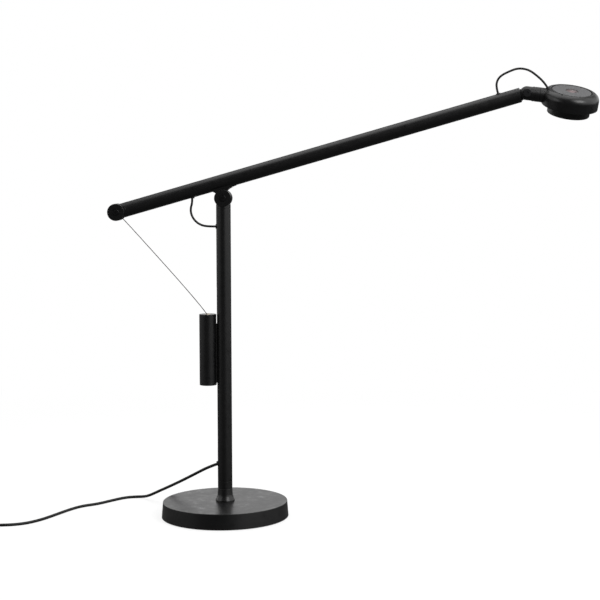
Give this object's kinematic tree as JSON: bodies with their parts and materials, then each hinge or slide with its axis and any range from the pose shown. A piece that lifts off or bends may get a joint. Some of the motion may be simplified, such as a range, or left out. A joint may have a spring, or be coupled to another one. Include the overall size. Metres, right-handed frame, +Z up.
{
  "type": "counterweight balance desk lamp",
  "caption": "Slim black balance desk lamp: a sliding counterweight on the stem is wired to the arm's tail and holds the long tilting arm with its round flat head.",
  "frame": {"origin": "on the stem's axis, in the flat face that the base stands on", "axes": "+X from the stem towards the lamp's head, +Z up along the stem, the counterweight on the -X side"},
  "size_m": [0.9123, 0.201, 0.6171],
  "materials": {
    "black_steel": "satin black powder coat on steel",
    "black_aluminium": "satin black coat on aluminium",
    "plate_grey": "fine bead-blasted grey anodised disc",
    "dark_plastic": "fine matte moulded plastic",
    "cast_iron": "as cast, ground on its upper face",
    "steel": "zinc-plated or stainless, satin",
    "black_screw": "blackened steel, satin",
    "brass": "turned brass",
    "nylon": "natural nylon",
    "rubber": "matte black rubber",
    "cable_black": "smooth matte PVC jacket",
    "plug_black": "fine-textured moulded plastic",
    "bare_aluminium": "die-cast, bare",
    "board_white": "white solder mask",
    "board_green": "green solder mask",
    "white_plastic": "white moulded plastic",
    "diffuser_opal": "opal sheet"
  },
  "bodies": {
    "base": {"base_cover": "black_steel", "base_weight": "cast_iron", "base_screws": "steel", "base_pad": "rubber", "foot_cone": "black_steel", "foot_spigot": "steel", "swivel_clip": "steel", "foot_washer": "steel", "foot_nut": "steel", "thrust_washer": "nylon", "mains_cord": "cable_black", "cord_coil": "cable_black", "cord_tail": "cable_black", "coil_tie": "plug_black", "plug_body": "plug_black", "plug_pins": "brass"},
    "stem": {"swivel_collar": "black_steel", "stem_tube": "black_steel", "cord_bush": "rubber", "stem_grommet": "rubber", "stem_inner_cable": "cable_black", "stem_loop_cable": "cable_black", "stem_top_plug": "black_steel", "pivot_axle": "steel", "pivot_cap_screws": "black_screw", "pivot_washers": "nylon"},
    "weight": {"counterweight": "black_steel", "weight_end_cap": "black_steel", "weight_cap_screw": "steel", "weight_carriage": "nylon", "wire_anchor": "brass"},
    "wire": {"pull_wire": "steel", "wire_nipples": "steel"},
    "arm": {"arm_tube": "black_aluminium", "arm_grommets": "rubber", "arm_inner_cable": "cable_black", "head_loop_cable": "cable_black", "saddle_bracket": "black_aluminium", "saddle_strip": "steel", "saddle_screws": "steel", "tail_plug": "black_steel", "tail_stub_screws": "black_screw", "head_plug": "black_aluminium"},
    "neck": {"neck_fork": "black_aluminium", "neck_clip": "steel", "head_hinge_pin": "black_screw", "hinge_washers": "nylon"},
    "head": {"head_shell": "black_aluminium", "head_grommet": "rubber", "top_plate": "plate_grey", "dimmer_switch": "dark_plastic", "dimmer_board": "board_green", "heat_sink": "bare_aluminium", "head_screws": "steel", "lamp_ring": "black_aluminium", "led_board": "board_white", "reflector": "white_plastic", "diffuser": "diffuser_opal"},
    "button": {"dimmer_button": "dark_plastic"}
  },
  "joints": [
    {"name": "stem_swivel", "type": "hinge", "parent": "base", "child": "stem", "pos_m": [0, 0, 0.05], "axis": [0, 0, 1], "range_deg": [-90, 90], "deforming": ["mains_cord"]},
    {"name": "arm_tilt", "type": "hinge", "parent": "stem", "child": "arm", "pos_m": [0, 0, 0.4404], "axis": [0, -1, 0], "range_deg": [-16, 30], "deforming": ["stem_loop_cable"]},
    {"name": "weight_slide", "type": "slide", "parent": "stem", "child": "weight", "axis": [0, 0, 1], "range_m": [-0.0895, 0.0485]},
    {"name": "wire_swing", "type": "hinge", "parent": "weight", "child": "wire", "pos_m": [-0.0225, 0, 0.279], "axis": [0, -1, 0], "range_deg": [-8, 5]},
    {"name": "head_tilt", "type": "hinge", "parent": "arm", "child": "neck", "pos_m": [0.41405, 0, 0.58222], "axis": [0, -1, 0], "range_deg": [-62, 62], "deforming": ["head_loop_cable"]},
    {"name": "head_swivel", "type": "hinge", "parent": "neck", "child": "head", "pos_m": [0.41405, 0, 0.58222], "axis": [0.9925, 0, -0.1219], "range_deg": [-79, 41], "deforming": ["head_loop_cable"]},
    {"name": "button_press", "type": "slide", "parent": "head", "child": "button", "axis": [-0.1152, 0.3256, -0.9385], "range_m": [0, 0.001], "stiffness_N_per_m": 800, "springref_m": -0.0005}
  ],
  "couplings": [
    {"joint": "weight_slide", "follows": "arm_tilt", "m_per_rad": -0.169},
    {"joint": "wire_swing", "follows": "arm_tilt", "ratio": -0.25}
  ]
}
